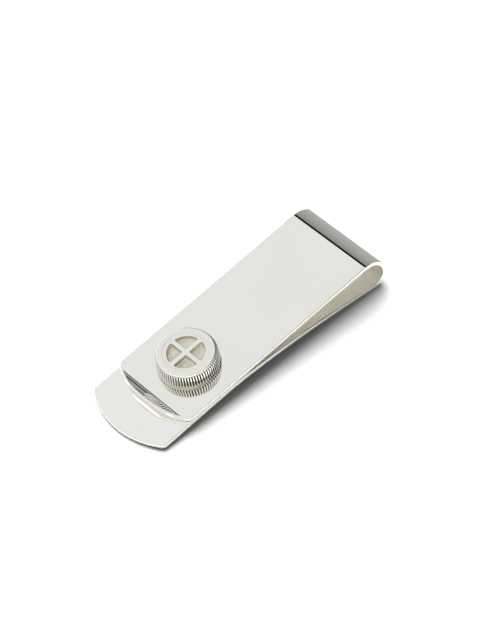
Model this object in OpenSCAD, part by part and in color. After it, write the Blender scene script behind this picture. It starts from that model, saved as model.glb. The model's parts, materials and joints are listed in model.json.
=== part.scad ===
// Spring money clip: one polished silver strip folded back on itself, with a reeded knob riveted on it.
// X runs across the strip, +Y towards the bend, +Z up. The clip rests on Z = 0 on the heel of its
// bend and on the edge of its tongue, and the origin is under the middle of its length and width.

/* [Strip] */
// Width of the strip
strip_width = 18; // [14:0.5:22]
// Thickness of the sheet
strip_thickness = 0.9; // [0.7:0.05:1]
// Length from the edge of the tongue to the outside of the bend
overall_length = 55.6; // [52:0.2:62]

/* [Bend] */
// Outer radius of the large arc that flexes
bend_radius = 4.7; // [4.3:0.1:5.5]
// Outer radius of the tighter heel under it
heel_radius = 2.7; // [2:0.1:3]
// Angle around the large arc at which the fixed part of the strip ends
bend_split_angle = 35; // [20:1:50]

/* [Upper leaf] */
// Length of the straight leaf, from the bend to its two corners
leaf_length = 42; // [38:0.1:44]
// Slope of the upper leaf
leaf_tilt = 6.1; // [5:0.1:7]
// How far the curled lip reaches past the corners of the leaf
lip_reach = 2.2; // [1.5:0.05:2.4]
// Radius of the hollow side of the lip
lip_curl_radius = 2.55; // [2.5:0.05:4]
// Radius of the lip's back; one under the hollow's radius plus the thickness thins the lip
lip_back_radius = 2.65; // [2.6:0.05:4]
// Radius of the lip's edge, seen from above
lip_edge_radius = 19.5; // [16:0.5:30]
// Rounding of the leaf's corners, seen from above
leaf_corner_radius = 1.8; // [0.8:0.1:2.5]

/* [Lower leaf] */
// Distance from the edge of the tongue to the crown of the arch
crown_from_tongue = 24.3; // [20:0.1:28]
// Underside radius of the arch on the tongue's side of its crown
crown_radius = 68; // [50:1:90]
// Radius of the tongue's edge, seen from above
tongue_edge_radius = 15.5; // [12:0.5:20]
// Rounding of the tongue's corners, seen from above
tongue_corner_radius = 1; // [0.5:0.1:2]
// Gap between the two leaves where they grip
grip_gap = 0.06; // [0.04:0.01:0.3]

/* [Knob] */
// Radius over the reeds
knob_radius = 5.5; // [5:0.05:5.8]
// Distance of the knob's axis from the leaf's corners
knob_setback = 8.05; // [6.5:0.05:12]
// Distance of the knob's axis from the middle of the leaf
knob_offset = 0.25; // [-2.6:0.05:2.6]
// Height of the plain neck under the cap
collar_height = 0.3; // [0.2:0.05:1]
// Height of the cap
cap_height = 2.9; // [2.6:0.1:4]
// Number of reeds round the cap
reed_count = 70; // [40:1:90]
// Depth of a reed
reed_depth = 0.18; // [0.1:0.01:0.25]
// Height of the plain rim above the reeds
rim_height = 0.25; // [0.15:0.05:0.4]
// Radius of the round face set into the cap
face_radius = 4.15; // [3.9:0.05:4.3]
// Outer radius of the four pockets in that face
pocket_radius = 3.35; // [2.8:0.05:3.6]
// Width of the cross that stands between the pockets
cross_width = 0.8; // [0.5:0.05:1.4]
// Depth of the pockets
pocket_depth = 0.8; // [0.5:0.05:1.3]
// Radius of the rivet's shank
shank_radius = 1; // [0.8:0.05:1.2]

/* [Hidden] */
$fn = 96;

silver = "#dcdcd8";
shaded_silver = "#b9b9b3";
warm_silver = "#cdc6b4";

running_fit = 0.05;
arc_steps = 24;

// The bend's two arcs share their outermost point, and the heel stands on the floor.
heel_centre = [overall_length / 2 - heel_radius, heel_radius];
bend_centre = [overall_length / 2 - bend_radius, heel_radius];

// The crown's height leaves the grip gap between its top side and the underside of the upper leaf.
crown_y = crown_from_tongue - overall_length / 2;
crown_z = crown_radius + bend_centre.y + (bend_radius - 2 * strip_thickness - grip_gap - crown_radius
    + (crown_y - bend_centre.x) * sin(leaf_tilt)) / cos(leaf_tilt);
crown_centre = [crown_y, crown_z - crown_radius];

// From the crown one long arc runs down to the heel.
heel_angle = 2 * atan2(crown_z, heel_centre.x - crown_y);
far_radius = (heel_centre.x - crown_y) / sin(heel_angle) - heel_radius;
far_centre = [crown_y, crown_z - far_radius];

// On the other side the tongue leaves the crown's arc straight, and its edge touches the floor.
tongue_edge = [-overall_length / 2, 0];
to_crown = crown_centre - tongue_edge;
tongue_angle = atan2(to_crown.y, to_crown.x) + asin(crown_radius / norm(to_crown));
past_edge = 2;

// Heights in the stack of the knob, from the top of the leaf.
cap_z = collar_height + running_fit;
cap_floor = 0.6;
head_height = 0.4;
head_radius = 1.8;
head_pocket_height = 0.6;
face_seat_z = cap_z + cap_floor + head_pocket_height;
face_drop = 0.05;
face_height = cap_height - cap_floor - head_pocket_height - face_drop;
collar_inset = 0.45;
rim_inset = 0.38;
rim_radius = knob_radius - rim_inset;
rim_chamfer = 0.15;
countersink = 0.5;

function on_circle(centre, radius, angle) = centre + radius * [cos(angle), sin(angle)];

// The points of an arc after its first one, which the outline already has.
function arc(centre, radius, from, to) =
    [for (i = [1:arc_steps]) on_circle(centre, radius, from + (to - from) * i / arc_steps)];

// One side of the lower leaf, from the bend to the tongue; depth 0 is the outer side of the strip.
function lower_side(depth) = concat(
    [on_circle(bend_centre, bend_radius - depth, bend_split_angle)],
    arc(bend_centre, bend_radius - depth, bend_split_angle, 0),
    arc(heel_centre, heel_radius - depth, 0, -90 - heel_angle),
    arc(far_centre, far_radius + depth, 90 - heel_angle, 90),
    arc(crown_centre, crown_radius + depth, 90, 90 + tongue_angle),
    [on_circle(on_circle(tongue_edge, depth, 90 + tongue_angle), past_edge, 180 + tongue_angle)]
);

// One side of the upper leaf in its own frame, where the bend's axis is the origin.
function upper_side(height, curl_radius) = concat(
    [[0, height], [-leaf_length, height]],
    arc([-leaf_length, height + curl_radius], curl_radius, -90, -180)
);

function reversed(points) = [for (i = [len(points) - 1:-1:0]) points[i]];

// Outline from above of a strip whose end is an arc with rounded corners, up to back_y.
function strip_outline(end_y, edge_radius, corner_radius, back_y) =
    let (
        edge_centre = [0, end_y + edge_radius],
        corner_x = strip_width / 2 - corner_radius,
        corner_y = edge_centre.y - sqrt(pow(edge_radius - corner_radius, 2) - pow(corner_x, 2)),
        corner_angle = atan2(corner_y - edge_centre.y, corner_x)
    )
    concat(
        [[-strip_width / 2, back_y], [strip_width / 2, back_y], [strip_width / 2, corner_y]],
        arc([corner_x, corner_y], corner_radius, 0, corner_angle),
        arc(edge_centre, edge_radius, corner_angle, -180 - corner_angle),
        arc([-corner_x, corner_y], corner_radius, -180 - corner_angle, -180)
    );

// Turns a side view drawn in Y and Z into a solid as wide as the strip.
module across_strip() {
    rotate([90, 0, 90])
        linear_extrude(height = strip_width, center = true)
            children();
}

// Places what is drawn about the bend's axis, with the upper leaf level.
module on_leaf() {
    translate([0, bend_centre.x, bend_centre.y])
        rotate([leaf_tilt, 0, 0])
            children();
}

// Places what is drawn about the knob's axis, from the top of the leaf up.
module on_knob() {
    on_leaf()
        translate([knob_offset, knob_setback - leaf_length, bend_radius])
            children();
}

module reeded_disc(height) {
    linear_extrude(height = height)
        polygon([for (i = [0:2 * reed_count - 1])
            on_circle([0, 0], knob_radius - (i % 2) * reed_depth, i * 180 / reed_count)]);
}

module lower_leaf() {
    color(silver)
        intersection() {
            across_strip() polygon(concat(lower_side(0), reversed(lower_side(strip_thickness))));
            linear_extrude(height = 2 * bend_radius + heel_radius)
                polygon(strip_outline(tongue_edge.x, tongue_edge_radius, tongue_corner_radius,
                    overall_length / 2 + past_edge));
        }
}

module spring_bend() {
    far = 2 * bend_radius;
    color(shaded_silver)
        translate([0, bend_centre.x, bend_centre.y])
            across_strip()
                intersection() {
                    difference() {
                        circle(r = bend_radius);
                        circle(r = bend_radius - strip_thickness);
                    }
                    polygon([[0, 0], on_circle([0, 0], far, bend_split_angle), [far, far], [0, far],
                        on_circle([0, 0], far, 90 + leaf_tilt)]);
                }
}

module upper_leaf() {
    color(silver)
        on_leaf()
            difference() {
                intersection() {
                    across_strip() polygon(concat(upper_side(bend_radius, lip_curl_radius),
                        reversed(upper_side(bend_radius - strip_thickness, lip_back_radius))));
                    linear_extrude(height = 2 * bend_radius)
                        polygon(strip_outline(-leaf_length - lip_reach, lip_edge_radius,
                            leaf_corner_radius, 0));
                }
                translate([knob_offset, knob_setback - leaf_length, bend_radius - strip_thickness]) {
                    cylinder(r = shank_radius, h = 4 * strip_thickness, center = true);
                    cylinder(r1 = shank_radius + countersink, r2 = shank_radius, h = countersink);
                }
            }
}

module knob_collar() {
    color(silver)
        on_knob()
            difference() {
                cylinder(r = knob_radius - collar_inset, h = collar_height);
                translate([0, 0, -1]) cylinder(r = shank_radius, h = collar_height + 2);
            }
}

module knob_cap() {
    color(shaded_silver)
        on_knob()
            translate([0, 0, cap_z])
                difference() {
                    union() {
                        reeded_disc(cap_height - rim_height);
                        translate([0, 0, cap_height - rim_height])
                            cylinder(r1 = rim_radius, r2 = rim_radius - rim_chamfer, h = rim_height);
                    }
                    translate([0, 0, -1])
                        cylinder(r = shank_radius + running_fit, h = cap_height);
                    translate([0, 0, cap_floor])
                        cylinder(r = head_radius + 2 * running_fit, h = cap_height);
                    translate([0, 0, cap_floor + head_pocket_height])
                        cylinder(r = face_radius, h = cap_height);
                }
}

module knob_face() {
    color(warm_silver)
        on_knob()
            translate([0, 0, face_seat_z])
                difference() {
                    cylinder(r = face_radius, h = face_height);
                    translate([0, 0, face_height - pocket_depth])
                        linear_extrude(height = 2 * pocket_depth)
                            difference() {
                                circle(r = pocket_radius);
                                square([2 * face_radius, cross_width], center = true);
                                square([cross_width, 2 * face_radius], center = true);
                            }
                }
}

module knob_rivet() {
    head_z = cap_z + cap_floor + running_fit;
    color(silver)
        on_knob() {
            translate([0, 0, -strip_thickness]) {
                cylinder(r = shank_radius, h = head_z + strip_thickness);
                cylinder(r1 = shank_radius + countersink, r2 = shank_radius, h = countersink);
            }
            translate([0, 0, head_z]) cylinder(r = head_radius, h = head_height);
        }
}

lower_leaf();
spring_bend();
upper_leaf();
knob_collar();
knob_cap();
knob_face();
knob_rivet();
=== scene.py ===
import json
import math

import bmesh
import bpy
from mathutils import Matrix, Vector


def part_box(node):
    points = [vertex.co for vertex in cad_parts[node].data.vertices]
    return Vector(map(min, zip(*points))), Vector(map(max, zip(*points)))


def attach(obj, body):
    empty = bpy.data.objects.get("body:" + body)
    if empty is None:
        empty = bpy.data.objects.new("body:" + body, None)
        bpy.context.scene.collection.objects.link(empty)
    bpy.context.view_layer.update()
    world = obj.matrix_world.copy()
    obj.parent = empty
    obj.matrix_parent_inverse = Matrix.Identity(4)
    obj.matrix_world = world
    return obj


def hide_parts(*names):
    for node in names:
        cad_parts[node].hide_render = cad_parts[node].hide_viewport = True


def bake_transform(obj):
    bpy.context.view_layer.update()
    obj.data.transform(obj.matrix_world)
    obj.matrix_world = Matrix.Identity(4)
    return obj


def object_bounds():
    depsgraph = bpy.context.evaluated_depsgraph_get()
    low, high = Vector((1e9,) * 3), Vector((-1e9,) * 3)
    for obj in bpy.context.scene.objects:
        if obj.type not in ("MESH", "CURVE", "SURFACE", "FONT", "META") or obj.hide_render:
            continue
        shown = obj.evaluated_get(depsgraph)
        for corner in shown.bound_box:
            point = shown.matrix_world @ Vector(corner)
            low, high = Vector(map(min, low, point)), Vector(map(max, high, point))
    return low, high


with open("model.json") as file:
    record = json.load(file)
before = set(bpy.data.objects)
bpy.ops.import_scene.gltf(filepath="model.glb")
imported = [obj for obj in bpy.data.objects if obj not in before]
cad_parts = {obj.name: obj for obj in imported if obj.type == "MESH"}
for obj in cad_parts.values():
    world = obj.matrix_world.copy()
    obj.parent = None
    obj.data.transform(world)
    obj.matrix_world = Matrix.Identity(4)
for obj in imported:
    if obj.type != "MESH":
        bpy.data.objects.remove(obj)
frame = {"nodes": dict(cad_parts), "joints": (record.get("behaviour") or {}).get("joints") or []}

cadLow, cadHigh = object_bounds()
mm = 0.001
print("frame loaded:", ", ".join(sorted(frame["nodes"])))

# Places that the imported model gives: the bend's axis, the knob's axis and the strip's outer size.
joints = {joint["name"]: joint for joint in frame["joints"]}
bendCentre = Vector(joints["leaf_flex"]["pos_m"])
knobFoot = Vector(joints["knob_turn"]["pos_m"])
leafNormal = Vector(joints["knob_turn"]["axis"]).normalized()
leafTilt = math.atan2(-leafNormal.y, leafNormal.z)
stripLow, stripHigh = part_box("lower_leaf")
halfWidth = stripHigh.x
bendRadius = stripHigh.y - bendCentre.y
heelRadius = bendCentre.z - cadLow.z


def toLinear(hexColour, alpha=1.0):
    parts = [int(hexColour[i:i + 2], 16) / 255 for i in (1, 3, 5)]
    return [c / 12.92 if c <= 0.04045 else ((c + 0.055) / 1.055) ** 2.4 for c in parts] + [alpha]


def addNode(tree, kind, settings=None, links=None):
    node = tree.nodes.new(kind)
    for key, value in (settings or {}).items():
        if isinstance(key, str) and hasattr(node, key):
            setattr(node, key, value)
        else:
            node.inputs[key].default_value = value
    for key, socket in (links or {}).items():
        tree.links.new(socket, node.inputs[key])
    return node


def newMaterial(name):
    material = bpy.data.materials.new(name)
    material.use_nodes = True
    material.node_tree.nodes.clear()
    return material, material.node_tree


def linkObject(name, mesh, material):
    piece = bpy.data.objects.new(name, mesh)
    bpy.context.scene.collection.objects.link(piece)
    mesh.materials.append(material)
    return piece


def solidMesh(name, points, faces):
    builder = bmesh.new()
    verts = [builder.verts.new(point) for point in points]
    for face in faces:
        builder.faces.new([verts[i] for i in face])
    bmesh.ops.recalc_face_normals(builder, faces=builder.faces)
    mesh = bpy.data.meshes.new(name)
    builder.to_mesh(mesh)
    builder.free()
    mesh.shade_smooth()
    return mesh


def weighNormals(piece, sharpDegrees):
    # flat faces stay flat right up to the small roundings beside them
    piece.data.set_sharp_from_angle(angle=math.radians(sharpDegrees))
    weigh = piece.modifiers.new("weighNormals", "WEIGHTED_NORMAL")
    weigh.keep_sharp = True
    weigh.weight = 50
    return piece


silverLook = {
    "colour": "#FAF9F4",        # sterling silver, nearly neutral
    "cloudColour": "#F4F2EA",   # a trace of warmth where the polish is thinner
    "cloudSize": 9.0,           # mm, soft clouds left by the buffing wheel
    "cloudFrom": 0.35,          # where in the clouds the roughness starts to rise
    "cloudTo": 0.65,            # and where it stops
    "smooth": 0.02,
    "dull": 0.05,
    "waveSize": 5.0,            # mm, slow waves of hand-polished sheet
    "waveDepth": 0.0006,        # mm
    "hairSpacing": 0.12,        # mm, polishing lines, drawn coarser than the real 0.01 mm
    "hairDepth": 0.00004,       # mm
    "hairStretch": 0.06,        # the lines run along the clip: their width as a share of their length
}

reedLook = dict(silverLook, colour="#FAF8F3", cloudColour="#F2EFE6", smooth=0.06, dull=0.12,
                cloudSize=2.0, waveDepth=0.0, hairDepth=0.0001,
                # painted shade: the reeds' hollows are coloured dark, where shade falls between them
                grooveShadeColour="#2E2B27",
                grooveFrom=5.5, grooveTo=5.63,    # mm from the knob's axis, at the reeds' foot
                grooveTaper=0.112,                # the reeds lean in by this share of their height
                grooveMiddle=1.65,                # mm up from the leaf
                grooveHalf=1.2, grooveFade=0.1)   # mm up and down from there

satinLook = dict(silverLook, colour="#F3EEE1", cloudColour="#E3DAC6", smooth=0.34, dull=0.5,
                 cloudSize=1.2, waveDepth=0.0, hairSpacing=0.1, hairDepth=0.0006)

innerLook = dict(silverLook, colour="#FDFCF9", cloudColour="#FAF7F0", cloudSize=3.5,
                 waveSize=3.0, waveDepth=0.012,
                 deepRoughness=0.34, polishedUpTo=-17.0, dullFrom=-9.0)   # mm along the clip


def silverMaterial(name, look):
    material, tree = newMaterial(name)
    place = addNode(tree, "ShaderNodeTexCoord").outputs["Object"]
    clouds = addNode(tree, "ShaderNodeTexNoise",
                     {"Scale": 1 / (look["cloudSize"] * mm), "Detail": 4.0, "Roughness": 0.55},
                     {"Vector": place})
    colour = addNode(tree, "ShaderNodeMix",
                     {"data_type": "RGBA", 6: toLinear(look["colour"]), 7: toLinear(look["cloudColour"])},
                     {0: clouds.outputs["Fac"]})
    finish = colour.outputs[2]
    # painted shade: colours the reeds' hollows dark, fading out above and below a band round the reeds'
    # middle height
    if "grooveShadeColour" in look:
        aboutKnob = addNode(tree, "ShaderNodeMapping",
                         {"vector_type": "TEXTURE", "Location": knobFoot, "Rotation": (leafTilt, 0, 0)},
                         {"Vector": place})
        level = addNode(tree, "ShaderNodeVectorMath", {"operation": "MULTIPLY", 1: (1.0, 1.0, 0.0)},
                        {0: aboutKnob.outputs[0]})
        distance = addNode(tree, "ShaderNodeVectorMath", {"operation": "LENGTH"}, {0: level.outputs[0]})
        apart = addNode(tree, "ShaderNodeSeparateXYZ", links={0: aboutKnob.outputs[0]})
        atFoot = addNode(tree, "ShaderNodeMath", {"operation": "MULTIPLY_ADD", 1: look["grooveTaper"]},
                         {0: apart.outputs["Z"], 2: distance.outputs["Value"]})
        height = addNode(tree, "ShaderNodeMapRange",
                         {"From Min": look["grooveFrom"] * mm, "From Max": look["grooveTo"] * mm},
                         {"Value": atFoot.outputs[0]})
        offMiddle = addNode(tree, "ShaderNodeMath", {"operation": "SUBTRACT", 1: look["grooveMiddle"] * mm},
                            {0: apart.outputs["Z"]})
        away = addNode(tree, "ShaderNodeMath", {"operation": "ABSOLUTE"}, {0: offMiddle.outputs[0]})
        past = addNode(tree, "ShaderNodeMapRange",
                       {"From Min": (look["grooveHalf"] - look["grooveFade"]) * mm,
                        "From Max": look["grooveHalf"] * mm},
                       {"Value": away.outputs[0]})
        unshaded = addNode(tree, "ShaderNodeMath", {"operation": "MAXIMUM"},
                        {0: height.outputs[0], 1: past.outputs[0]})
        grooveShaded = addNode(tree, "ShaderNodeMix", {"data_type": "RGBA", 6: toLinear(look["grooveShadeColour"])},
                          {0: unshaded.outputs[0], 7: finish})
        finish = grooveShaded.outputs[2]
    rough = addNode(tree, "ShaderNodeMapRange",
                    {"From Min": look["cloudFrom"], "From Max": look["cloudTo"],
                     "To Min": look["smooth"], "To Max": look["dull"]},
                    {"Value": clouds.outputs["Fac"]})
    if "deepRoughness" in look:
        apart = addNode(tree, "ShaderNodeSeparateXYZ", links={0: place})
        rough = addNode(tree, "ShaderNodeMapRange",
                        {"interpolation_type": "SMOOTHSTEP", "From Min": look["polishedUpTo"] * mm,
                         "From Max": look["dullFrom"] * mm, "To Max": look["deepRoughness"]},
                        {"Value": apart.outputs["Y"], "To Min": rough.outputs[0]})
    stretched = addNode(tree, "ShaderNodeMapping", {"Scale": (1.0, look["hairStretch"], 1.0)},
                        {"Vector": place})
    hairs = addNode(tree, "ShaderNodeTexNoise",
                    {"Scale": 1 / (look["hairSpacing"] * mm), "Detail": 2.0},
                    {"Vector": stretched.outputs[0]})
    waves = addNode(tree, "ShaderNodeTexNoise",
                    {"Scale": 1 / (look["waveSize"] * mm), "Detail": 1.0}, {"Vector": place})
    hairBump = addNode(tree, "ShaderNodeBump",
                       {"Strength": 1.0, "Distance": look["hairDepth"] * mm},
                       {"Height": hairs.outputs["Fac"]})
    waveBump = addNode(tree, "ShaderNodeBump",
                       {"Strength": 1.0, "Distance": look["waveDepth"] * mm},
                       {"Height": waves.outputs["Fac"], "Normal": hairBump.outputs[0]})
    surface = addNode(tree, "ShaderNodeBsdfPrincipled", {"Metallic": 1.0},
                      {"Base Color": finish, "Roughness": rough.outputs[0],
                       "Normal": waveBump.outputs[0]})
    addNode(tree, "ShaderNodeOutputMaterial", links={"Surface": surface.outputs[0]})
    return material


# Mirror-polished sterling silver sheet: a clear, slightly soft mirror.
polishedSilver = silverMaterial("polishedSterlingSilver", silverLook)
# Cut reeds, polished by tumbling: softer glints, with painted shade darkening the grooves.
reededSilver = silverMaterial("reededSterlingSilver", reedLook)
# Blasted pocket floors: a warm satin that holds no clear reflection.
satinSilver = silverMaterial("satinSterlingSilver", satinLook)
# The inner side is polished where a wheel reaches it, at the tongue, and stays a warm satin deep inside.
innerSilver = silverMaterial("satinToPolishedSterlingSilver", innerLook)
print("silver materials made")


strip = {
    "thickness": 0.9,         # mm, as every length here
    "edgeRounding": 0.23,
    "lipRounding": 0.36,
    "edgeSteps": 6,
    "bendSplit": 35.0,        # degrees round the large arc, where the fixed part ends
    "leafLength": 42.0,
    "lipReach": 2.2,
    "lipCurlRadius": 2.55,
    "lipBackRadius": 2.65,    # under the curl's radius and thickness together, so the lip thins
    "lipEdgeRadius": 19.5,
    "leafCorner": 1.8,
    "crownFromTongue": 24.3,
    "crownRadius": 68.0,
    "tongueEdgeRadius": 15.5,
    "tongueCorner": 1.0,
    "gripGap": 0.06,
    "tightStep": 1.5,         # degrees between rows on the tight arcs
    "longStep": 1.2,          # mm between rows elsewhere
    "tightUpTo": 10.0,        # mm, the largest radius of a tight arc
    "endGap": 0.1,            # mm, where the plain rows stop before a rounded end
    "endSteps": 60,
    "cornerSteps": 8,
}


def arcPart(centre, radius, start, end, hollow=False):
    # hollow: the outer side of the strip is the one that faces the centre
    tight = radius < strip["tightUpTo"] * mm
    step = strip["tightStep"] if tight else math.degrees(strip["longStep"] * mm / radius)
    return {"centre": Vector(centre), "radius": radius, "start": start, "end": end, "hollow": hollow,
            "length": radius * math.radians(abs(end - start)), "rows": math.ceil(abs(end - start) / step)}


def linePart(start, heading, length, side=1):
    # side: 1 when the outer side is to the right of the way ahead, -1 when it is to the left
    return {"from": Vector(start), "heading": heading, "length": length, "side": side,
            "rows": math.ceil(length / (strip["longStep"] * mm))}


def turned2d(degrees):
    return Vector((math.cos(math.radians(degrees)), math.sin(math.radians(degrees))))


def alongPath(path, run, depth):
    # a point at that depth under the outer side, the outer side's normal, and the way ahead, all in Y and Z
    for part in path:
        if run <= part["length"] or part is path[-1]:
            break
        run -= part["length"]
    if "heading" in part:
        ahead = turned2d(part["heading"])
        normal = Vector((ahead.y, -ahead.x)) * part["side"]
        return part["from"] + ahead * run - normal * depth, normal, ahead
    turn = math.copysign(1, part["end"] - part["start"])
    out = turned2d(part["start"] + turn * math.degrees(run / part["radius"]))
    ahead = Vector((-out.y, out.x)) * turn
    if not part["hollow"]:
        return part["centre"] + out * (part["radius"] - depth), out, ahead
    if "backRadius" not in part:
        return part["centre"] + out * (part["radius"] + depth), -out, ahead
    # the lip: its back is an arc of its own, which comes closer to the hollow side as it goes
    thickness = strip["thickness"] * mm
    apart = part["radius"] + thickness - part["backRadius"]
    cosine, sine = -out.y, out.x
    reach = apart * cosine + math.sqrt(part["backRadius"] ** 2 - (apart * sine) ** 2)
    at = part["centre"] + out * (part["radius"] + depth * (reach - part["radius"]) / thickness)
    if depth < thickness / 2:
        return at, -out, ahead
    return at, (part["centre"] - Vector((0, apart)) - at).normalized(), ahead


def endOutline(tip, edgeRadius, cornerRadius):
    # (half width, run) of a rounded end, from its straight side to its tip
    middle = tip - edgeRadius
    cornerX = halfWidth - cornerRadius
    cornerRun = middle + math.sqrt((edgeRadius - cornerRadius) ** 2 - cornerX ** 2)
    cornerAngle = math.degrees(math.atan2(cornerRun - middle, cornerX))
    points = []
    cornerSteps, endSteps = strip["cornerSteps"], strip["endSteps"]
    for i in range(cornerSteps + 1):
        at = turned2d(cornerAngle * i / cornerSteps) * cornerRadius
        points.append((cornerX + at.x, cornerRun + at.y))
    for i in range(1, endSteps + 1):
        at = turned2d(cornerAngle + (90 - cornerAngle) * i / endSteps) * edgeRadius
        points.append((at.x, middle + at.y))
    points[-1] = (0.0, tip)
    return points


def stripRows(path, outline=None):
    # rows across the strip: half width, run, and the edge's own direction in the flat sheet
    runs, done = [0.0], 0.0
    for part in path:
        runs += [done + part["length"] * (i + 1) / part["rows"] for i in range(part["rows"])]
        done += part["length"]
    if outline:
        runs = [run for run in runs if run < outline[0][1] - strip["endGap"] * mm]
    rows = [(halfWidth, run) for run in runs] + (outline or [])
    edged = []
    for i, (x, run) in enumerate(rows):
        before, after = rows[max(i - 1, 0)], rows[min(i + 1, len(rows) - 1)]
        edge = Vector((after[1] - before[1], before[0] - after[0])).normalized()
        if x == 0.0:
            edge = Vector((0.0, 1.0))
        edged.append((x, run, edge))
    return edged


def edgeProfile(rounding):
    # across the rounded edge, from the outer side to the inner: inset, depth, angle
    rounding, thickness = rounding * mm, strip["thickness"] * mm
    steps = strip["edgeSteps"]
    profile = []
    for i in range(steps + 1):
        angle = math.radians(90 * i / steps)
        profile.append((rounding * (1 - math.sin(angle)), rounding * (1 - math.cos(angle)), angle))
    for i in range(steps + 1):
        angle = math.radians(90 + 90 * i / steps)
        depth = thickness - rounding * (1 + math.cos(angle))
        profile.append((rounding * (1 - math.sin(angle)), depth, angle))
    return profile


def stripPiece(name, path, place=None, outline=None, endRounding=strip["edgeRounding"]):
    place = place or Matrix.Identity(4)
    points, normals, faces, rings = [], [], [], []
    for x, run, edge in stripRows(path, outline):
        pair = []
        plainRounding = strip["edgeRounding"]
        profile = edgeProfile(plainRounding + (endRounding - plainRounding) * max(edge.y, 0))
        for side in (1, -1):
            if side == -1 and x == 0.0:
                pair.append(pair[0])
                continue
            ring = []
            for inset, depth, angle in profile:
                at, normal, ahead = alongPath(path, run - inset * edge.y, depth)
                out = Vector((side * edge.x, edge.y * ahead.x, edge.y * ahead.y))
                ring.append(len(points))
                points.append(place @ Vector((side * (x - inset * edge.x), at.x, at.y)))
                normals.append(place.to_3x3() @ (Vector((0, normal.x, normal.y)) * math.cos(angle)
                                                 + out * math.sin(angle)))
            pair.append(ring)
        rings.append(pair)
    last, inner = len(profile) - 1, set()
    for (right, left), (nextRight, nextLeft) in zip(rings, rings[1:]):
        for k in range(last):
            faces.append((right[k], right[k + 1], nextRight[k + 1], nextRight[k]))
            faces.append((left[k + 1], left[k], nextLeft[k], nextLeft[k + 1]))
        for k in (0, last):
            corners = [left[k], right[k], nextRight[k], nextLeft[k]]
            if k == last:
                inner.add(len(faces))
            faces.append(tuple(corners if nextRight is not nextLeft else corners[:3]))
    seams = [rings[0]] if outline else [rings[0], rings[-1]]
    caps = set(range(len(faces), len(faces) + len(seams)))
    for right, left in seams:
        faces.append(tuple(right + left[::-1]))
    mesh = solidMesh(name, points, faces)
    loopNormals = [(0, 0, 0)] * len(mesh.loops)
    for face in mesh.polygons:
        for loop in face.loop_indices:
            vert = mesh.loops[loop].vertex_index
            loopNormals[loop] = face.normal.copy() if face.index in caps else normals[vert].normalized()
    mesh.normals_split_custom_set(loopNormals)
    piece = linkObject(name, mesh, polishedSilver)
    mesh.materials.append(innerSilver)
    for face in mesh.polygons:
        if face.index in inner:
            face.material_index = 1
    return piece


bendMiddle = Vector((bendCentre.y, bendCentre.z))


def lowerPath():
    # from the bend's seam round the heel, over the arched leaf and down to the tongue, in Y and Z
    length = stripHigh.y - stripLow.y
    crownY = stripLow.y + strip["crownFromTongue"] * mm
    crownR, tilt = strip["crownRadius"] * mm, leafTilt
    heelMiddle = Vector((stripHigh.y - heelRadius, heelRadius))
    clear = bendRadius - (2 * strip["thickness"] + strip["gripGap"]) * mm - crownR
    crownZ = crownR + bendMiddle.y + (clear + (crownY - bendMiddle.x) * math.sin(tilt)) / math.cos(tilt)
    heelAngle = 2 * math.degrees(math.atan2(crownZ, heelMiddle.x - crownY))
    farR = (heelMiddle.x - crownY) / math.sin(math.radians(heelAngle)) - heelRadius
    crownMiddle = Vector((crownY, crownZ - crownR))
    toCrown = crownMiddle - Vector((stripLow.y, 0))
    tongueAngle = math.degrees(math.atan2(toCrown.y, toCrown.x) + math.asin(crownR / toCrown.length))
    tongueStart = crownMiddle + turned2d(90 + tongueAngle) * crownR
    print(f"strip is {length / mm:.1f} mm long, its crown stands {crownZ / mm:.2f} mm up")
    tongueLength = (tongueStart - Vector((stripLow.y, 0))).length
    return [
        arcPart(bendMiddle, bendRadius, strip["bendSplit"], 0),
        arcPart(heelMiddle, heelRadius, 0, -90 - heelAngle),
        arcPart((crownY, crownZ - farR), farR, 90 - heelAngle, 90, hollow=True),
        arcPart(crownMiddle, crownR, 90, 90 + tongueAngle, hollow=True),
        linePart(tongueStart, 180 + tongueAngle, tongueLength, side=-1),
    ]


lowerRun = lowerPath()
lowerLength = sum(part["length"] for part in lowerRun)
stripLower = stripPiece("stripLower", lowerRun, outline=endOutline(
    lowerLength, strip["tongueEdgeRadius"] * mm, strip["tongueCorner"] * mm))

seamAngle = 90 + math.degrees(leafTilt)
stripBend = stripPiece("stripBend", [arcPart(bendMiddle, bendRadius, seamAngle, strip["bendSplit"])])

# The leaf is drawn level about the bend's axis, then tilted. Its lip curls up beyond the corner line.
onLeaf = Matrix.Translation((0, bendCentre.y, bendCentre.z)) @ Matrix.Rotation(leafTilt, 4, "X")
leafLength, curlR = strip["leafLength"] * mm, strip["lipCurlRadius"] * mm
straightLeaf = linePart((0, bendRadius), 180, leafLength)
lipCurl = arcPart((-leafLength, bendRadius + curlR), curlR, -90, -180, hollow=True)
lipCurl["backRadius"] = strip["lipBackRadius"] * mm
lipOutline = []
for x, reach in endOutline(strip["lipReach"] * mm, strip["lipEdgeRadius"] * mm, strip["leafCorner"] * mm):
    curled = curlR * math.asin(reach / curlR) if reach > 0 else reach
    lipOutline.append((x, leafLength + curled))
stripUpper = stripPiece("stripUpper", [straightLeaf, lipCurl], onLeaf, lipOutline, strip["lipRounding"])

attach(stripLower, "fixed_leaf")
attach(stripUpper, "sprung_leaf")
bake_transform(stripBend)
for piece, node in (
        (stripLower, "lower_leaf"),
        (stripBend, "spring_bend"),
        (stripUpper, "upper_leaf")):
    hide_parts(node)
print("strip made")


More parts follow.
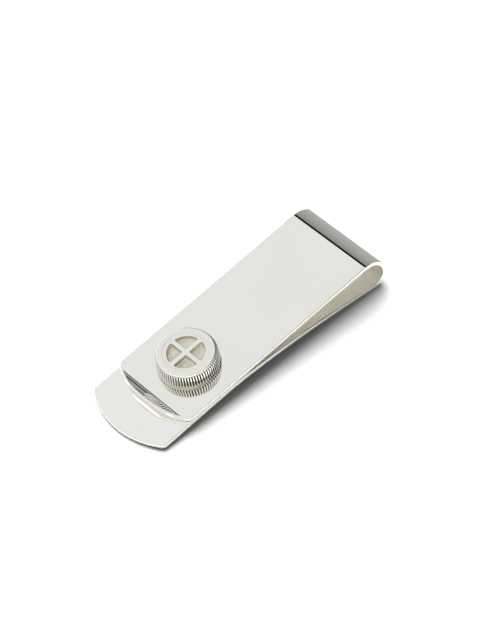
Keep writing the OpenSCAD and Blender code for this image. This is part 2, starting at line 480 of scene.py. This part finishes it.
knob = {
    "radius": 5.35,           # over the reeds at their top
    "flare": 0.28,            # how much wider they are at their foot
    "reeds": 70,
    "reedDepth": 0.2,
    "reedEndLoss": 0.3,       # share of the reed's depth that its ends lose
    "reedEndHeight": 0.06,    # from the foot's chamfer to their full depth
    "reedTopDrop": 0.02,      # from their full depth to the top's chamfer
    "collarHeight": 0.35,     # with the running gap over it
    "collarInset": 0.45,
    "collarFillet": 0.06,
    "collarCut": 0.04,
    "runningGap": 0.01,
    "capHeight": 2.9,
    "edgeCut": 0.16,          # chamfer that trims the reeds' ends
    "rimHeight": 0.3,
    "rimInset": 0.2,
    "rimRounding": 0.24,
    "rimFoot": 0.08,          # the rim's wall starts this far over the reeds
    "neckInset": 0.12,        # a thin neck parts the reeds from the rim
    "neckBelow": 0.03,
    "neckAbove": 0.02,
    "shoulderBelow": 0.1,     # where the reeds start to close in under the neck
    "boreRadius": 1.05,
    "capFloor": 1.2,
    "seatRounding": 0.03,
    "faceRadius": 4.15,
    "faceGap": 0.005,         # between the face and its seat
    "faceDrop": 0.05,         # face below the cap's top
    "faceHeight": 1.65,
    "faceRounding": 0.02,
    "pocketRadius": 3.35,
    "pocketDepth": 0.8,
    "pocketCorner": 0.3,
    "crossWidth": 0.8,
    "pocketEdge": 0.06,
    "pocketFillet": 0.25,
    "sideClear": 0.1,         # satin stays this far from the face's own side and underside
    "ticks": 60,
    "tickInner": 3.62,
    "tickOuter": 3.98,
    "tickWidth": 0.14,
    "tickHeight": 0.05,
    "tickRoot": 0.03,         # how far a mark reaches down into the face
    "tickTaper": 0.025,
    "shankRadius": 1.0,
    "tailRadius": 1.5,
    "tailStands": 0.02,
    "tailFlat": 0.6,          # share of the tail's radius that is flat
    "tailEdge": 0.08,
    "tailEdgeRise": 0.005,
    "tailSeat": 0.02,
    "tailCone": 0.5,          # the tail narrows to the shank over this height
    "headRadius": 1.8,
    "headHeight": 0.4,
    "headLift": 0.65,         # the head's underside over the cap's foot
    "roundSteps": 128,
    "edgeSteps": 4,           # in the face's and the pocket floors' small roundings
    "lipSteps": 3,            # in the pockets' upper edges
    "pocketInnerSteps": 6,
    "pocketCornerSteps": 8,
    "pocketOuterSteps": 20,
    "sharpAngle": 40,         # degrees
    "tickSharpAngle": 30,
}

# (place along one reed, share of the reed's depth)
reedShape = (
    (0.0, 0.1), (0.17, 0.0), (0.34, 0.1), (0.45, 0.5),
    (0.57, 0.92), (0.67, 1.0), (0.77, 0.92), (0.89, 0.5))

onKnob = Matrix.Translation(knobFoot) @ Matrix.Rotation(leafTilt, 4, "X")


def roundedCorner(centreR, centreZ, radius, start, end, steps=5):
    # points of a small quarter round in a turned profile
    return [(centreR + radius * math.cos(math.radians(start + (end - start) * i / steps)),
             centreZ + radius * math.sin(math.radians(start + (end - start) * i / steps)), 0)
            for i in range(steps + 1)]


def turnedPiece(name, profile, material, reeded=False, closedRing=True):
    # turns a profile of (radius, height, reed share) in mm round the knob's axis
    if reeded:
        around = [((n + at) * 360 / knob["reeds"], depth)
                  for n in range(knob["reeds"]) for at, depth in reedShape]
    else:
        around = [(n * 360 / knob["roundSteps"], 0.0) for n in range(knob["roundSteps"])]
    points, faces, rows = [], [], []
    for radius, height, share in profile:
        if radius == 0:
            rows.append([len(points)] * len(around))
            points.append(onKnob @ Vector((0, 0, height * mm)))
            continue
        row = []
        for degrees, depth in around:
            at = turned2d(degrees) * (radius - share * depth * knob["reedDepth"]) * mm
            row.append(len(points))
            points.append(onKnob @ Vector((at.x, at.y, height * mm)))
        rows.append(row)
    pairs = list(zip(rows, rows[1:])) + ([(rows[-1], rows[0])] if closedRing else [])
    count = len(around)
    for lower, upper in pairs:
        for i in range(count):
            j = (i + 1) % count
            corners = [lower[i], lower[j], upper[j], upper[i]]
            faces.append(tuple(dict.fromkeys(corners)))
    piece = linkObject(name, solidMesh(name, points, faces), material)
    return weighNormals(piece, knob["sharpAngle"])


reedTop = knob["radius"]
cut, flare = knob["edgeCut"], knob["flare"]
collarR = reedTop - knob["collarInset"]
collarTop = knob["collarHeight"]
collarFillet, runningGap = knob["collarFillet"], knob["runningGap"]
knobCollar = turnedPiece("knobCollar", [
    (knob["shankRadius"], 0, 0),
    *roundedCorner(collarR + collarFillet, collarFillet, collarFillet, 270, 180, 4),
    (collarR, collarTop - collarFillet, 0),
    (collarR - knob["collarCut"], collarTop - runningGap, 0),
    (knob["shankRadius"], collarTop - runningGap, 0),
], polishedSilver)

capLow = collarTop
capTop = capLow + knob["capHeight"]
rimLow = capTop - knob["rimHeight"]
rimR = reedTop - knob["rimInset"]
rounding = knob["rimRounding"]
seatZ = capLow + knob["capFloor"]
faceR = knob["faceRadius"]
endLoss = knob["reedDepth"] * knob["reedEndLoss"]
seatRounding = knob["seatRounding"]
knobCap = turnedPiece("knobCap", [
    (knob["boreRadius"], capLow, 0),
    (reedTop + flare - cut - knob["reedDepth"], capLow, 0),
    (reedTop + flare - endLoss, capLow + cut, 1),
    (reedTop + flare, capLow + cut + knob["reedEndHeight"], 1),
    (reedTop, rimLow - cut - knob["reedTopDrop"], 1),
    (reedTop - endLoss, rimLow - knob["shoulderBelow"], 1),
    (rimR - knob["neckInset"], rimLow - knob["neckBelow"], 0),
    (rimR - knob["neckInset"], rimLow + knob["neckAbove"], 0),
    (rimR, rimLow + knob["rimFoot"], 0),
    *roundedCorner(rimR - rounding, capTop - rounding, rounding, 0, 90),
    *roundedCorner(faceR + seatRounding, capTop - seatRounding, seatRounding, 90, 180, 3),
    (faceR, seatZ, 0),
    (knob["boreRadius"], seatZ, 0),
], reededSilver, reeded=True)

headZ = capLow + knob["headLift"]
leafUnder = -strip["thickness"]
tailZ = leafUnder - knob["tailStands"]
knobRivet = turnedPiece("knobRivet", [
    (0, tailZ, 0),
    (knob["tailRadius"] * knob["tailFlat"], tailZ, 0),
    (knob["tailRadius"] - knob["tailEdge"], tailZ + knob["tailEdgeRise"], 0),
    (knob["tailRadius"], leafUnder + knob["tailSeat"], 0),
    (knob["shankRadius"], leafUnder + knob["tailCone"], 0),
    (knob["shankRadius"], headZ, 0),
    (knob["headRadius"], headZ, 0),
    (knob["headRadius"], headZ + knob["headHeight"], 0),
    (0, headZ + knob["headHeight"], 0),
], polishedSilver, closedRing=False)


def pocketRing(quarter, spread, height):
    # outline of one pocket, spread out from its core by that much
    corner, bar = knob["pocketCorner"], knob["crossWidth"] / 2
    inner = bar + corner
    outerR = knob["pocketRadius"] - corner
    reach = math.sqrt(outerR ** 2 - inner ** 2)
    turn = math.degrees(math.atan2(inner, reach))
    innerSteps, cornerSteps = knob["pocketInnerSteps"], knob["pocketCornerSteps"]
    outerSteps = knob["pocketOuterSteps"]
    core = []
    for centre, start, end, steps in (
            ((inner, inner), 180, 270, innerSteps),
            ((reach, inner), 270, 360 + turn, cornerSteps)):
        core += [(Vector(centre), start + (end - start) * i / steps) for i in range(steps + 1)]
    for i in range(1, outerSteps):
        angle = turn + (90 - 2 * turn) * i / outerSteps
        core.append((turned2d(angle) * outerR, angle))
    for i in range(cornerSteps + 1):
        core.append((Vector((inner, reach)), 90 - turn + (90 + turn) * i / cornerSteps))
    ring = []
    for centre, angle in core:
        at = Matrix.Rotation(math.radians(90 * quarter), 2) @ (centre + turned2d(angle) * spread)
        ring.append(Vector((at.x, at.y, height)))
    return ring


def facePiece():
    # drawn level in mm, then set on the knob: a round plate with four pockets sunk in it
    builder = bmesh.new()
    top = capTop - knob["faceDrop"]
    low = top - knob["faceHeight"]
    edge, sideR = knob["faceRounding"], faceR - knob["faceGap"]
    steps, lipSteps, around = knob["edgeSteps"], knob["lipSteps"], knob["roundSteps"]
    clear = knob["sideClear"]
    floorFaces = []

    def bridge(rings):
        rows = [[builder.verts.new(point) for point in ring] for ring in rings]
        for lower, upper in zip(rows, rows[1:]):
            for i in range(len(lower)):
                j = (i + 1) % len(lower)
                builder.faces.new((lower[i], lower[j], upper[j], upper[i]))
        return rows

    def circle(radius, height):
        return [Vector((*(turned2d(n * 360 / around) * radius), height)) for n in range(around)]

    sides = [circle(sideR, low)]
    for i in range(steps + 1):
        angle = math.radians(90 * i / steps)
        sides.append(circle(sideR - edge * (1 - math.cos(angle)), top - edge * (1 - math.sin(angle))))
    rows = bridge(sides)
    builder.faces.new(rows[0])
    loops = [rows[-1]]
    corner, lip, fillet = knob["pocketCorner"], knob["pocketEdge"], knob["pocketFillet"]
    bottom = top - knob["pocketDepth"]
    for quarter in range(4):
        rings = []
        for i in range(lipSteps + 1):
            angle = math.radians(90 * i / lipSteps)
            rings.append(pocketRing(quarter, corner + lip * (1 - math.sin(angle)),
                                    top - lip * (1 - math.cos(angle))))
        for i in range(steps + 1):
            angle = math.radians(90 * i / steps)
            rings.append(pocketRing(quarter, corner - fillet * (1 - math.cos(angle)),
                                    bottom + fillet * (1 - math.sin(angle))))
        rows = bridge(rings)
        loops.append(rows[0])
        floorFaces.append(builder.faces.new(rows[-1]))
    edges = []
    for loop in loops:
        for i in range(len(loop)):
            edges.append(builder.edges.get((loop[i], loop[(i + 1) % len(loop)])))
    bmesh.ops.triangle_fill(builder, use_beauty=True, edges=edges)
    bmesh.ops.recalc_face_normals(builder, faces=builder.faces)
    bmesh.ops.triangulate(builder, faces=floorFaces)
    for face in builder.faces:
        # satin below the pockets' upper edges
        middle = face.calc_center_median()
        inPocket = low + clear < middle.z < top - lip and Vector(middle.xy).length < faceR - clear
        face.material_index = 1 if inPocket else 0
    builder.transform(onKnob @ Matrix.Scale(mm, 4))
    mesh = bpy.data.meshes.new("knobFace")
    builder.to_mesh(mesh)
    builder.free()
    mesh.shade_smooth()
    piece = linkObject("knobFace", mesh, polishedSilver)
    mesh.materials.append(satinSilver)
    return weighNormals(piece, knob["sharpAngle"])


knobFace = facePiece()


def tickPiece():
    # plain raised marks round the face, like the scale of a dial
    points, faces = [], []
    top = capTop - knob["faceDrop"]
    inner, outer, half = knob["tickInner"], knob["tickOuter"], knob["tickWidth"] / 2
    quads = [(3, 2, 1, 0), (4, 5, 6, 7)] + [(i, (i + 1) % 4, 4 + (i + 1) % 4, 4 + i) for i in range(4)]
    for n in range(knob["ticks"]):
        spin = Matrix.Rotation(2 * math.pi * n / knob["ticks"], 4, "Z")
        start = len(points)
        for height, shrink in ((-knob["tickRoot"], 0.0), (knob["tickHeight"], knob["tickTaper"])):
            for x, y in ((inner + shrink, -half + shrink), (outer - shrink, -half + shrink),
                         (outer - shrink, half - shrink), (inner + shrink, half - shrink)):
                points.append(onKnob @ spin @ Vector((x * mm, y * mm, (top + height) * mm)))
        faces += [tuple(start + i for i in quad) for quad in quads]
    piece = linkObject("knobTicks", solidMesh("knobTicks", points, faces), reededSilver)
    return weighNormals(piece, knob["tickSharpAngle"])


knobTicks = tickPiece()

for piece, body, node, slot in (
        (knobCollar, "sprung_leaf", "knob_collar", "polished_silver"),
        (knobRivet, "sprung_leaf", "knob_rivet", "polished_silver"),
        (knobCap, "knob_top", "knob_cap", "reeded_silver"),
        (knobFace, "knob_top", "knob_face", "satin_silver")):
    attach(piece, body)
    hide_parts(node)
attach(knobTicks, "knob_top")
print("knob made")


studio = {
    "floorColour": "#F6F6F4",
    "floorSize": 6.0,            # m
    "sunStrength": 5.5,
    "sunSoftness": 68.0,         # degrees
    "sunFrom": (-0.52, 0.22, 0.82),
    "reach": 0.9,                # m from the clip to the softbox and cards
    "leftEnd": -1.4,             # the cards' ends along X, as shares of reach
    "split": 0.3,                # where the main cards end and the side ones start
    "rightEnd": 1.6,
    "frontStart": -110.0,        # degrees from straight up, as the edges below; + leans towards the bend
    "keyStart": -40.0,
    "keyEdge": 33.0,             # where the softbox ends and the flag starts
    "flagEdge": 38.5,            # where the flag ends and the grey card behind it starts
    "backEnd": 110.0,
    "sideEdge": 24.0,            # where the side light ends and its dark card starts
    "darkEnd": 75.0,
    "keyStrength": 0.86,
    "fillStrength": 0.78,
    "backStrength": 0.38,
    "backColour": "#F3F3FA",
    "keyColour": "#FBFDFF",
    "leftFillY": (-1.0, 1.0),    # m
    "leftFillZ": (-0.1, 0.9),
    "bendCardX": (-0.07, 0.02),  # m, two small cards close behind the bend, one over the other
    "bendCardGap": 0.008,
    "greyTop": 0.029,
    "flagTop": 0.0414,
    "greyLow": 0.5,              # strength at the grey card's foot
    "greyHigh": 0.24,            # and at its top
    "mirrorBounces": 12,
    "around": 0.27,              # grey light from the rest of the room
}


def emitter(name, colour, strength, farStrength=None):
    # a plain lit panel; with farStrength its light changes evenly from one edge to the other
    material, tree = newMaterial(name)
    shine = addNode(tree, "ShaderNodeEmission", {"Color": toLinear(colour), "Strength": strength})
    if farStrength is not None:
        place = addNode(tree, "ShaderNodeTexCoord").outputs["Generated"]
        apart = addNode(tree, "ShaderNodeSeparateXYZ", links={0: place})
        level = addNode(tree, "ShaderNodeMapRange", {"To Min": strength, "To Max": farStrength},
                        {"Value": apart.outputs["Y"]})
        tree.links.new(level.outputs[0], shine.inputs["Strength"])
    addNode(tree, "ShaderNodeOutputMaterial", links={"Surface": shine.outputs[0]})
    return material


def addCard(name, material, fromAngle, toAngle, lowX, highX, reach):
    # a card in the tunnel round the clip; angles lean from straight up (0) towards +Y (90)
    middle = math.radians((fromAngle + toAngle) / 2)
    half = math.radians((toAngle - fromAngle) / 2)
    out = Vector((0, math.sin(middle), math.cos(middle)))
    along = Vector((0, math.cos(middle), -math.sin(middle)))
    spread = reach * math.tan(half)
    corners = [out * reach + along * side * spread + Vector((x, 0, 0))
               for side, x in ((-1, lowX), (-1, highX), (1, highX), (1, lowX))]
    return addPanel(name, material, corners)


def addPanel(name, material, corners):
    # a flat lit or dark panel, drawn in its own plane so that its Y runs from the first edge to the far one
    mesh = bpy.data.meshes.new(name)
    origin = sum(corners, Vector()) / 4
    across, along = (corners[1] - corners[0]).normalized(), (corners[3] - corners[0]).normalized()
    turn = Matrix((across, along, across.cross(along))).transposed().to_4x4()
    flat = [turn.inverted() @ (corner - origin) for corner in corners]
    mesh.from_pydata(flat, [], [(0, 1, 2, 3)])
    card = linkObject(name, mesh, material)
    card.matrix_world = Matrix.Translation(origin) @ turn
    card.visible_camera = False
    card.visible_diffuse = False
    card.visible_shadow = False
    return card


floorMesh = bpy.data.meshes.new("floor")
half = studio["floorSize"] / 2
floorCorners = [(-half, -half, 0), (half, -half, 0), (half, half, 0), (-half, half, 0)]
floorMesh.from_pydata(floorCorners, [], [(0, 1, 2, 3)])
paperMaterial, paperTree = newMaterial("mattPaper")
paper = addNode(paperTree, "ShaderNodeBsdfDiffuse", {"Color": toLinear(studio["floorColour"])})
addNode(paperTree, "ShaderNodeOutputMaterial", links={"Surface": paper.outputs[0]})
floor = linkObject("floor", floorMesh, paperMaterial)
floor.location.z = cadLow.z

reach = studio["reach"]
keyLight = emitter("softboxLight", studio["keyColour"], studio["keyStrength"])
fillLight = emitter("fillLight", studio["keyColour"], studio["fillStrength"])
blackFlag = emitter("blackFlag", "#000000", 0.0)
leftEnd, split, rightEnd = (studio[end] * reach for end in ("leftEnd", "split", "rightEnd"))
keyStart, keyEdge, flagEdge = studio["keyStart"], studio["keyEdge"], studio["flagEdge"]
backLight = emitter("backLight", studio["backColour"], studio["backStrength"])
addCard("softbox", keyLight, keyStart, keyEdge, leftEnd, split, reach)
addCard("flag", blackFlag, keyEdge, flagEdge, leftEnd, split, reach)
addCard("backCard", backLight, flagEdge, studio["backEnd"], leftEnd, split, reach)
addCard("sideLight", fillLight, keyStart, studio["sideEdge"], split, rightEnd, reach)
addCard("darkSide", blackFlag, studio["sideEdge"], studio["darkEnd"], split, rightEnd, reach)
addCard("frontFill", fillLight, studio["frontStart"], keyStart, leftEnd, rightEnd, reach)
(nearY, farY), (lowZ, highZ) = studio["leftFillY"], studio["leftFillZ"]
addPanel("leftFill", fillLight, [
    Vector((leftEnd, y, z)) for y, z in ((nearY, lowZ), (farY, lowZ), (farY, highZ), (nearY, highZ))])


def bendCard(name, material, low, high):
    # a small upright card close behind the bend, which mirrors it
    firstX, lastX = studio["bendCardX"]
    y = cadHigh.y + studio["bendCardGap"]
    corners = ((firstX, low), (lastX, low), (lastX, high), (firstX, high))
    return addPanel(name, material, [Vector((x, y, z)) for x, z in corners])


bendCard("bendFlag", blackFlag, studio["greyTop"], studio["flagTop"])
bendCard("greyCard", emitter("greyCard", "#FFFFFF", studio["greyLow"], studio["greyHigh"]),
         0.0, studio["greyTop"])

sunData = bpy.data.lights.new("paperLight", "SUN")
sunData.energy = studio["sunStrength"]
sunData.angle = math.radians(studio["sunSoftness"])
sun = bpy.data.objects.new("paperLight", sunData)
bpy.context.scene.collection.objects.link(sun)
sun.rotation_mode = "QUATERNION"
sun.rotation_quaternion = Vector(studio["sunFrom"]).to_track_quat("Z", "Y")
sun.visible_glossy = False

world = bpy.data.worlds.new("room")
bpy.context.scene.world = world
world.use_nodes = True
world.node_tree.nodes.clear()
room = addNode(world.node_tree, "ShaderNodeBackground",
               {"Color": toLinear("#FFFFFF"), "Strength": studio["around"]})
addNode(world.node_tree, "ShaderNodeOutputWorld", links={"Surface": room.outputs[0]})
print("studio made")


cameraSetup = {
    "elevation": 49.395,      # degrees above the table
    "azimuth": 50.518,        # degrees round from looking along +Y
    "roll": -5.0,
    "distance": 0.52176,
    "target": (-0.0028955, 0.0035483, 0.0),
    "lens": 168.75,
    "sensorWidth": 36,
    "clip": (0.01, 20),       # m
}

elevation, azimuth = (math.radians(cameraSetup[angle]) for angle in ("elevation", "azimuth"))
back = Vector((math.sin(azimuth) * math.cos(elevation), -math.cos(azimuth) * math.cos(elevation),
               math.sin(elevation)))
right = Vector((math.cos(azimuth), math.sin(azimuth), 0))
upright = Matrix((right, back.cross(right), back)).transposed()
cameraData = bpy.data.cameras.new("camera")
cameraData.lens = cameraSetup["lens"]
cameraData.sensor_width = cameraSetup["sensorWidth"]
cameraData.clip_start, cameraData.clip_end = cameraSetup["clip"]
camera = bpy.data.objects.new("camera", cameraData)
bpy.context.scene.collection.objects.link(camera)
turnRoll = Matrix.Rotation(math.radians(cameraSetup["roll"]), 3, "Z")
camera.matrix_world = (Matrix.Translation(Vector(cameraSetup["target"]) + back * cameraSetup["distance"])
                       @ (upright @ turnRoll).to_4x4())
bpy.context.scene.camera = camera
bpy.context.scene.view_settings.view_transform = "Standard"
bpy.context.scene.cycles.caustics_reflective = False
bpy.context.scene.cycles.glossy_bounces = studio["mirrorBounces"]
print("camera set")
